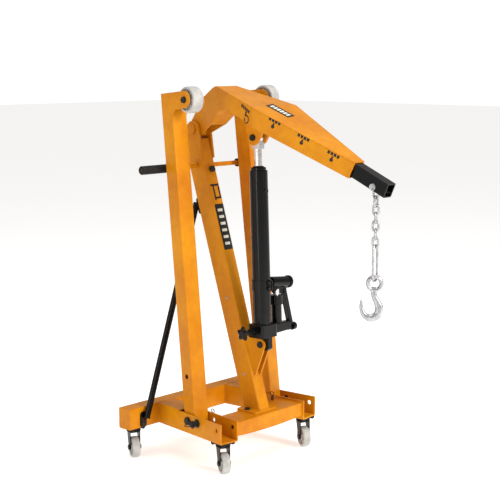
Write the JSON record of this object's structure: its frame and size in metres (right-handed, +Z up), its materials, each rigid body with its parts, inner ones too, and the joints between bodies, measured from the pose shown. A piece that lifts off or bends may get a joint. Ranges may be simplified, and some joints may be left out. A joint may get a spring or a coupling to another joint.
{
  "type": "engine hoist crane",
  "caption": "Folding workshop engine hoist with leaning mast, wide boom, hydraulic ram, hand pump, chain and hook, legs folded up on swivel casters.",
  "frame": {"origin": "on the floor under the middle of the crane's overall box", "axes": "+X to the front, where the boom reaches; +Y to the crane's left; +Z up"},
  "size_m": [0.9188, 0.681, 1.2933],
  "materials": {
    "orange_paint": "gloss enamel",
    "black_paint": "gloss enamel",
    "caster_black": "satin",
    "white_nylon": "satin nylon",
    "grip_rubber": "matt",
    "black_plastic": "satin",
    "chromed_rod": "polished",
    "zinc_steel": "zinc plated",
    "bolt_steel": "black zinc"
  },
  "bodies": {
    "frame": {"rear_crossbeam": "orange_paint", "side_channel_left": "orange_paint", "side_channel_right": "orange_paint", "channel_covers": "orange_paint", "front_crossbeam": "orange_paint", "mast_post": "orange_paint", "mast_foot_plate": "orange_paint", "mast_cheeks": "orange_paint", "ram_bracket": "orange_paint", "brace_struts": "black_paint", "push_bar": "orange_paint", "push_grips": "grip_rubber", "boom_pivot_bolt": "orange_paint", "ram_base_pin": "bolt_steel", "frame_bolts": "bolt_steel", "leg_pivot_bolts": "bolt_steel", "lock_clips": "bolt_steel", "caster_plates": "caster_black"},
    "mast_knob": {"mast_knob": "black_plastic"},
    "boom": {"boom_sides": "orange_paint", "boom_top_plate": "orange_paint", "boom_underside": "orange_paint", "boom_root_tube": "orange_paint", "ram_top_lugs": "orange_paint", "ram_top_bolts": "bolt_steel", "extension_guides": "black_paint"},
    "extension": {"extension_tube": "black_paint", "chain_bolt": "zinc_steel"},
    "top_link": {"chain_top_link": "zinc_steel"},
    "chain": {"chain_links": "zinc_steel"},
    "hook": {"hook": "zinc_steel"},
    "ram": {"ram_base_block": "black_paint", "arm_end_plug": "black_paint", "ram_cylinder": "black_paint", "ram_gland": "black_paint", "filler_plug": "bolt_steel", "clamp_band": "black_paint", "pump_barrel": "black_paint", "pump_gland": "black_paint"},
    "ram_rod": {"ram_rod": "chromed_rod"},
    "plunger": {"pump_plunger": "chromed_rod"},
    "link_strap": {"link_strap": "black_paint"},
    "handle_socket": {"handle_socket": "black_paint"},
    "release_knob": {"release_knob": "black_paint"},
    "leg_left": {"leg_left": "orange_paint", "roller_axle_left": "bolt_steel"},
    "leg_roller_left": {"leg_roller_left": "white_nylon"},
    "lock_pin_left": {"lock_pin_left": "bolt_steel"},
    "leg_right": {"leg_right": "orange_paint", "roller_axle_right": "bolt_steel"},
    "leg_roller_right": {"leg_roller_right": "white_nylon"},
    "lock_pin_right": {"lock_pin_right": "bolt_steel"},
    "caster_fork_rear_left": {"caster_fork_rear_left": "caster_black"},
    "caster_wheel_rear_left": {"caster_wheel_rear_left": "white_nylon"},
    "caster_fork_rear_right": {"caster_fork_rear_right": "caster_black"},
    "caster_wheel_rear_right": {"caster_wheel_rear_right": "white_nylon"},
    "caster_fork_front_left": {"caster_fork_front_left": "caster_black"},
    "caster_wheel_front_left": {"caster_wheel_front_left": "white_nylon"},
    "caster_fork_front_right": {"caster_fork_front_right": "caster_black"},
    "caster_wheel_front_right": {"caster_wheel_front_right": "white_nylon"}
  },
  "joints": [
    {"name": "boom_lift", "type": "hinge", "parent": "frame", "child": "boom", "pos_m": [-0.3884, 0, 1.139], "axis": [0, -1, 0], "range_deg": [-8, 50]},
    {"name": "rod_extend", "type": "slide", "parent": "ram", "child": "ram_rod", "axis": [-0.0379, 0, 0.9993], "range_m": [-0.03708, 0.22914]},
    {"name": "ram_tilt", "type": "hinge", "parent": "frame", "child": "ram", "pos_m": [-0.0794, 0, 0.411], "axis": [0, -1, 0], "range_deg": [-0.82, 4.87]},
    {"name": "extension_slide", "type": "slide", "parent": "boom", "child": "extension", "axis": [0.9157, 0, -0.4019], "range_m": [0, 0.08]},
    {"name": "load_line_plumb", "type": "hinge", "parent": "extension", "child": "top_link", "pos_m": [0.3986, 0, 0.99], "axis": [0, -1, 0], "range_deg": [-50.1, 8.1]},
    {"name": "chain_swing", "type": "hinge", "parent": "top_link", "child": "chain", "pos_m": [0.3986, 0, 0.9599], "axis": [0, -1, 0], "range_deg": [-40, 40]},
    {"name": "hook_swing", "type": "hinge", "parent": "chain", "child": "hook", "pos_m": [0.3986, 0, 0.6916], "axis": [0.682, -0.7314, 0], "range_deg": [-60, 60]},
    {"name": "handle_pump", "type": "hinge", "parent": "link_strap", "child": "handle_socket", "pos_m": [-0.08596, 0.111, 0.58388], "axis": [-0.9993, 0, -0.0379], "range_deg": [-6, 28]},
    {"name": "plunger_slide", "type": "slide", "parent": "ram", "child": "plunger", "axis": [-0.0379, 0, 0.9993], "range_m": [-0.0041, 0.0187]},
    {"name": "link_rock", "type": "hinge", "parent": "ram", "child": "link_strap", "pos_m": [-0.08156, 0.14, 0.46796], "axis": [0.9993, 0, 0.0379], "range_deg": [-0.2, 0.7]},
    {"name": "release_turn", "type": "hinge", "parent": "ram", "child": "release_knob", "pos_m": [-0.08137, -0.06, 0.46296], "axis": [0, -1, 0], "range_deg": [0, 270]},
    {"name": "mast_knob_turn", "type": "hinge", "parent": "frame", "child": "mast_knob", "pos_m": [-0.33044, 0, 1.00056], "axis": [0.9533, 0, 0.3019], "continuous": true},
    {"name": "leg_fold_left", "type": "hinge", "parent": "frame", "child": "leg_left", "pos_m": [-0.21922, 0.18697, 0.155], "axis": [-0.1116, 0.9937, 0], "range_deg": [0, 96.5]},
    {"name": "leg_roller_turn_left", "type": "hinge", "parent": "leg_left", "child": "leg_roller_left", "pos_m": [-0.23614, 0.18507, 1.2493], "axis": [0.1116, -0.9937, 0], "continuous": true},
    {"name": "lock_pin_pull_left", "type": "slide", "parent": "frame", "child": "lock_pin_left", "axis": [-0.1116, 0.9937, 0], "range_m": [0, 0.02]},
    {"name": "leg_fold_right", "type": "hinge", "parent": "frame", "child": "leg_right", "pos_m": [-0.21922, -0.18697, 0.155], "axis": [0.1116, 0.9937, 0], "range_deg": [0, 96.5]},
    {"name": "leg_roller_turn_right", "type": "hinge", "parent": "leg_right", "child": "leg_roller_right", "pos_m": [-0.23614, -0.18507, 1.2493], "axis": [0.1116, 0.9937, 0], "continuous": true},
    {"name": "lock_pin_pull_right", "type": "slide", "parent": "frame", "child": "lock_pin_right", "axis": [-0.1116, -0.9937, 0], "range_m": [0, 0.02]},
    {"name": "caster_swivel_rear_left", "type": "hinge", "parent": "frame", "child": "caster_fork_rear_left", "pos_m": [-0.4284, 0.294, 0.09], "axis": [0, 0, 1], "continuous": true},
    {"name": "caster_roll_rear_left", "type": "hinge", "parent": "caster_fork_rear_left", "child": "caster_wheel_rear_left", "pos_m": [-0.41949, 0.28946, 0.0375], "axis": [-0.454, -0.891, 0], "continuous": true},
    {"name": "caster_swivel_rear_right", "type": "hinge", "parent": "frame", "child": "caster_fork_rear_right", "pos_m": [-0.4284, -0.294, 0.09], "axis": [0, 0, 1], "continuous": true},
    {"name": "caster_roll_rear_right", "type": "hinge", "parent": "caster_fork_rear_right", "child": "caster_wheel_rear_right", "pos_m": [-0.41949, -0.29854, 0.0375], "axis": [-0.454, -0.891, 0], "continuous": true},
    {"name": "caster_swivel_front_left", "type": "hinge", "parent": "frame", "child": "caster_fork_front_left", "pos_m": [-0.0734, 0.2065, 0.09], "axis": [0, 0, 1], "continuous": true},
    {"name": "caster_roll_front_left", "type": "hinge", "parent": "caster_fork_front_left", "child": "caster_wheel_front_left", "pos_m": [-0.06449, 0.20196, 0.0375], "axis": [-0.454, -0.891, 0], "continuous": true},
    {"name": "caster_swivel_front_right", "type": "hinge", "parent": "frame", "child": "caster_fork_front_right", "pos_m": [-0.0734, -0.2065, 0.09], "axis": [0, 0, 1], "continuous": true},
    {"name": "caster_roll_front_right", "type": "hinge", "parent": "caster_fork_front_right", "child": "caster_wheel_front_right", "pos_m": [-0.06449, -0.21104, 0.0375], "axis": [-0.454, -0.891, 0], "continuous": true}
  ],
  "couplings": [
    {"joint": "rod_extend", "follows": "boom_lift", "m_per_rad": 0.262},
    {"joint": "ram_tilt", "follows": "boom_lift", "ratio": 0.0964},
    {"joint": "load_line_plumb", "follows": "boom_lift", "ratio": -1},
    {"joint": "plunger_slide", "follows": "handle_pump", "m_per_rad": 0.0375},
    {"joint": "link_rock", "follows": "handle_pump", "ratio": 0.02}
  ]
}
